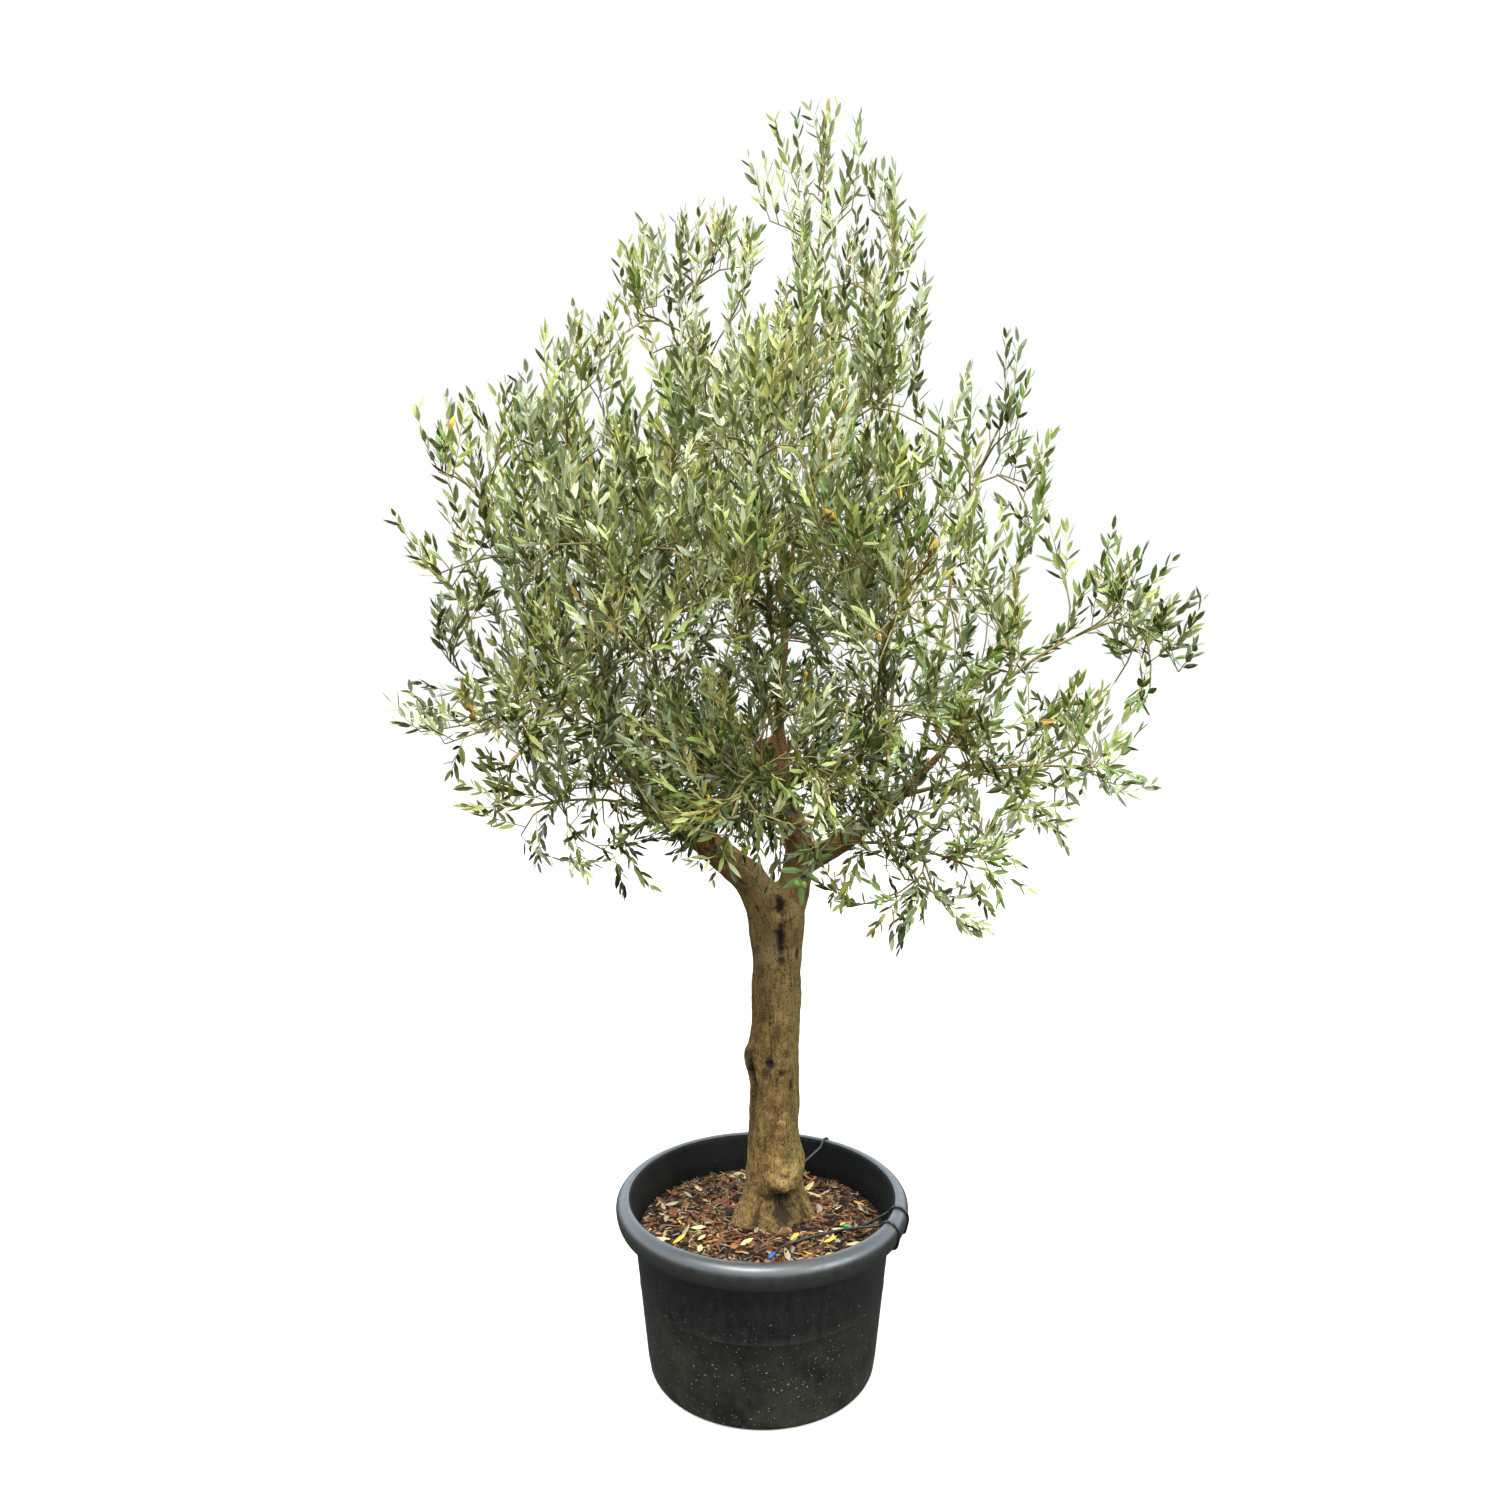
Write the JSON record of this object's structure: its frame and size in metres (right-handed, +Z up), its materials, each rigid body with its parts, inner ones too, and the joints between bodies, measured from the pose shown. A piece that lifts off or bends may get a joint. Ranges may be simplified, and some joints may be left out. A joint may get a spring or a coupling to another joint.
{
  "type": "potted standard olive tree",
  "caption": "Standard olive tree with a bare trunk, forked boughs and a rounded airy crown of narrow grey-green leaves, in a black plastic nursery pot filled with bark mulch.",
  "frame": {"origin": "centre of the pot's flat underside", "axes": "+Z up along the pot, +X to the right as the picture shows it, -Y towards the viewer"},
  "size_m": [1.834, 1.4794, 2.9527],
  "materials": {
    "bark": "rough grey-brown bark",
    "foliage": "leathery grey-green leaf, silvery below",
    "pot_plastic": "matte black with dust",
    "mulch": "loose bark chips",
    "drip_tube": "matte black tube"
  },
  "bodies": {
    "root": {"bough_back_left": "bark", "bough_back_low": "bark", "bough_back_right": "bark", "bough_back_top": "bark", "bough_front_centre": "bark", "bough_front_left": "bark", "bough_front_low": "bark", "bough_front_right": "bark", "bough_left": "bark", "bough_low_left": "bark", "bough_low_right": "bark", "bough_right": "bark", "bough_shoulder_left": "bark", "bough_shoulder_right": "bark", "bough_skirt_left": "bark", "bough_skirt_right": "bark", "bough_top": "bark", "bough_upper_left": "bark", "bough_upper_right": "bark", "drip_line_back": "drip_tube", "drip_line_front": "drip_tube", "drip_line_side": "drip_tube", "mass_back_left": "foliage", "mass_back_low": "foliage", "mass_back_right": "foliage", "mass_back_top": "foliage", "mass_front_centre": "foliage", "mass_front_left": "foliage", "mass_front_low": "foliage", "mass_front_right": "foliage", "mass_left": "foliage", "mass_low_left": "foliage", "mass_low_right": "foliage", "mass_right": "foliage", "mass_shoulder_left": "foliage", "mass_shoulder_right": "foliage", "mass_skirt_left": "foliage", "mass_skirt_right": "foliage", "mass_top": "foliage", "mass_upper_left": "foliage", "mass_upper_right": "foliage", "pot": "pot_plastic", "soil": "mulch", "trunk": "bark"}
  },
  "joints": []
}
